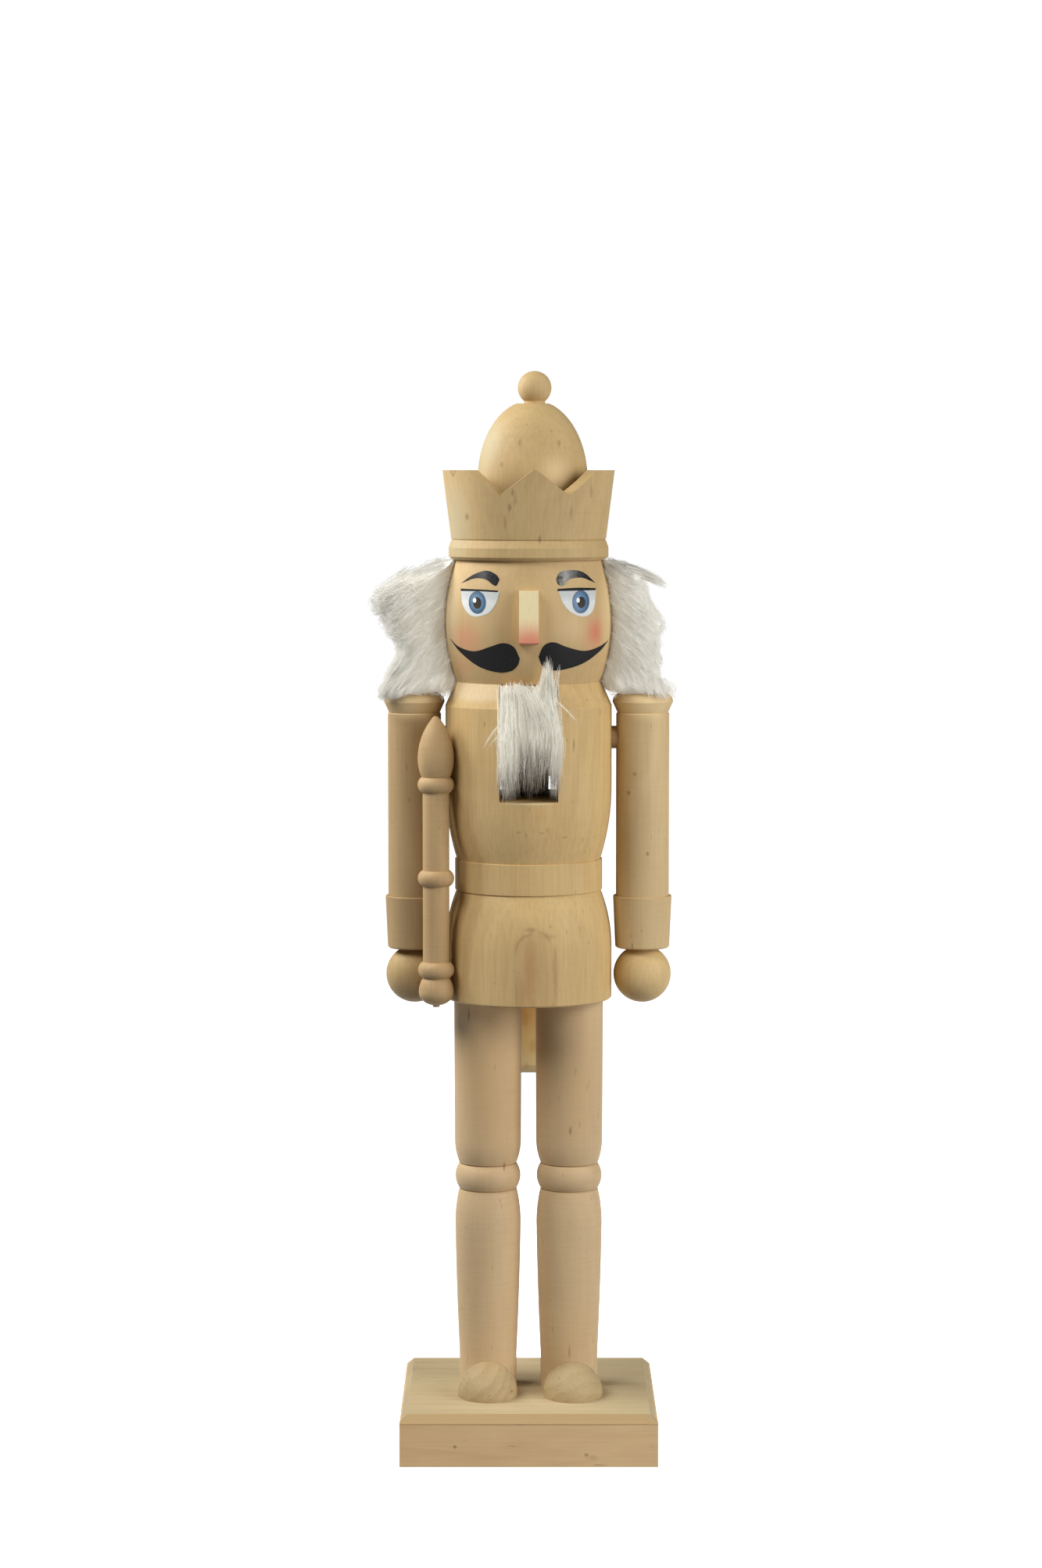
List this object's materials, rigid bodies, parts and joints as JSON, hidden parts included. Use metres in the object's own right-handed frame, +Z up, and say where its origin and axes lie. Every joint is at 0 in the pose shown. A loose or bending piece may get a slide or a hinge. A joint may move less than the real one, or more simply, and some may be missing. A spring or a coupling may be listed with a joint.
{
  "type": "nutcracker figure",
  "caption": "Unpainted turned-wood king nutcracker on a square base, with a lever-worked jaw, notched crown, sceptre, painted face, and white fur hair and beard.",
  "frame": {"origin": "centre of the base's underside", "axes": "+Z up through the figure, -Y the way the face looks, -X the figure's own right hand with the sceptre"},
  "size_m": [0.1022, 0.09, 0.38],
  "materials": {
    "base_wood": "sanded, unfinished",
    "leg_wood": "turned, unfinished",
    "foot_wood": "turned, unfinished",
    "body_wood": "turned, unfinished",
    "arm_wood": "turned, unfinished",
    "hand_wood": "turned, unfinished",
    "sceptre_wood": "turned, unfinished",
    "lever_wood": "sanded, unfinished",
    "crown_wood": "turned, unfinished",
    "face_wood": "turned, with a painted face",
    "nose_wood": "sanded, with a painted tip",
    "dowel_wood": "plain dowel",
    "fur": "long-pile white fur",
    "pin_steel": "plain",
    "screw_steel": "zinc plated"
  },
  "bodies": {
    "figure": {"base_block": "base_wood", "leg_screws": "screw_steel", "right_leg": "leg_wood", "left_leg": "leg_wood", "right_foot": "foot_wood", "left_foot": "foot_wood", "foot_dowels": "dowel_wood", "hip_dowels": "dowel_wood", "torso": "body_wood", "pivot_pin": "pin_steel", "neck_dowels": "dowel_wood", "head": "face_wood", "nose": "nose_wood", "hair": "fur", "crown": "crown_wood", "crown_dowel": "dowel_wood", "dome": "crown_wood", "dome_dowel": "dowel_wood", "finial_ball": "crown_wood", "finial_dowel": "dowel_wood", "right_arm": "arm_wood", "left_arm": "arm_wood", "shoulder_dowels": "dowel_wood", "right_hand": "hand_wood", "left_hand": "hand_wood", "wrist_dowels": "dowel_wood", "sceptre": "sceptre_wood", "sceptre_peg": "dowel_wood"},
    "jaw": {"jaw_lever": "lever_wood", "jaw_block": "lever_wood", "jaw_dowel": "dowel_wood", "beard": "fur"}
  },
  "joints": [
    {"name": "jaw_hinge", "type": "hinge", "parent": "figure", "child": "jaw", "pos_m": [0, 0, 0.243], "axis": [1, 0, 0], "range_deg": [0, 32]}
  ]
}
